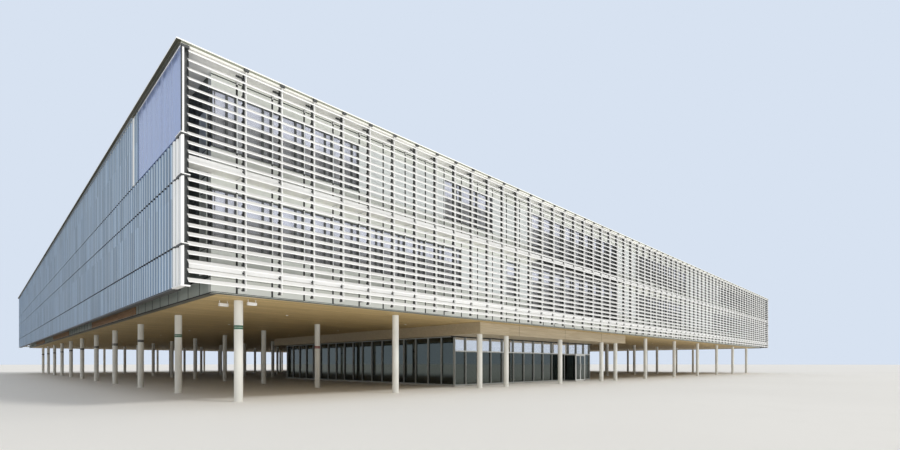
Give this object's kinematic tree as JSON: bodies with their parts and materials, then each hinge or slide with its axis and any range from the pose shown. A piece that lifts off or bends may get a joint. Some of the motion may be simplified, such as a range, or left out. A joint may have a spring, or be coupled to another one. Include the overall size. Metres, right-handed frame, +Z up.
{
  "type": "office building scale model",
  "caption": "Two-storey office block on round columns, with louvred long sides, fluted screens on the ends, a timber soffit and a glazed lobby with a pair of doors.",
  "frame": {"origin": "middle of the plan, on the lowest ground level under the columns", "axes": "+X along the long louvred front, the front facing -Y, fluted screens facing -X and +X, +Z up"},
  "size_m": [8.686, 8.608, 1.212],
  "materials": {
    "column_paint": "white satin paint",
    "timber": "oiled boards",
    "concrete": "bare concrete",
    "roof_metal": "white coated sheet",
    "wall_panel": "pale coated cladding",
    "zinc": "weathered zinc panels",
    "window_glass": "solar glass",
    "louvre_metal": "white coated aluminium",
    "fluted_metal": "fluted mill-finish sheet",
    "rail_metal": "dark coated steel",
    "screen_glass": "smooth tinted glass",
    "frame_metal": "grey coated frames",
    "lobby_glazing": "clear glass",
    "porch_metal": "pale coated frames"
  },
  "bodies": {
    "building": {"outer_columns": "column_paint", "inner_columns": "column_paint", "soffit_boards": "timber", "first_floor_deck": "concrete", "second_floor_slab": "concrete", "roof_deck": "roof_metal", "front_wall_bands": "wall_panel", "front_wall_panels": "wall_panel", "front_glass": "window_glass", "back_wall_bands": "wall_panel", "back_wall_panels": "wall_panel", "back_glass": "window_glass", "base_courses": "zinc", "left_wall_bands": "zinc", "left_wall_piers": "wall_panel", "left_glass": "window_glass", "right_wall_bands": "zinc", "right_wall_piers": "wall_panel", "right_glass": "window_glass", "front_louvre_posts": "louvre_metal", "front_louvre_blades": "louvre_metal", "back_louvre_posts": "louvre_metal", "back_louvre_blades": "louvre_metal", "louvre_walkways": "louvre_metal", "louvre_arms": "louvre_metal", "left_screen_panels": "fluted_metal", "left_screen_rails": "rail_metal", "left_screen_posts": "rail_metal", "right_screen_panels": "fluted_metal", "right_screen_rails": "rail_metal", "right_screen_posts": "rail_metal", "corner_bars": "louvre_metal", "corner_glass": "screen_glass", "entrance_canopy": "timber", "lobby_floor": "concrete", "lobby_front_frame": "frame_metal", "lobby_back_frame": "frame_metal", "lobby_side_frames": "frame_metal", "lobby_glass": "lobby_glazing", "porch_frame": "porch_metal", "porch_glass": "lobby_glazing"},
    "left_door": {"left_door_frame": "porch_metal", "left_door_glass": "lobby_glazing"},
    "right_door": {"right_door_frame": "porch_metal", "right_door_glass": "lobby_glazing"}
  },
  "joints": [
    {"name": "left_door_swing", "type": "hinge", "parent": "building", "child": "left_door", "pos_m": [-1.15, -3.921, 0.12], "axis": [0, 0, -1], "range_deg": [0, 90]},
    {"name": "right_door_swing", "type": "hinge", "parent": "building", "child": "right_door", "pos_m": [-1.01, -3.921, 0.12], "axis": [0, 0, 1], "range_deg": [0, 90]}
  ]
}
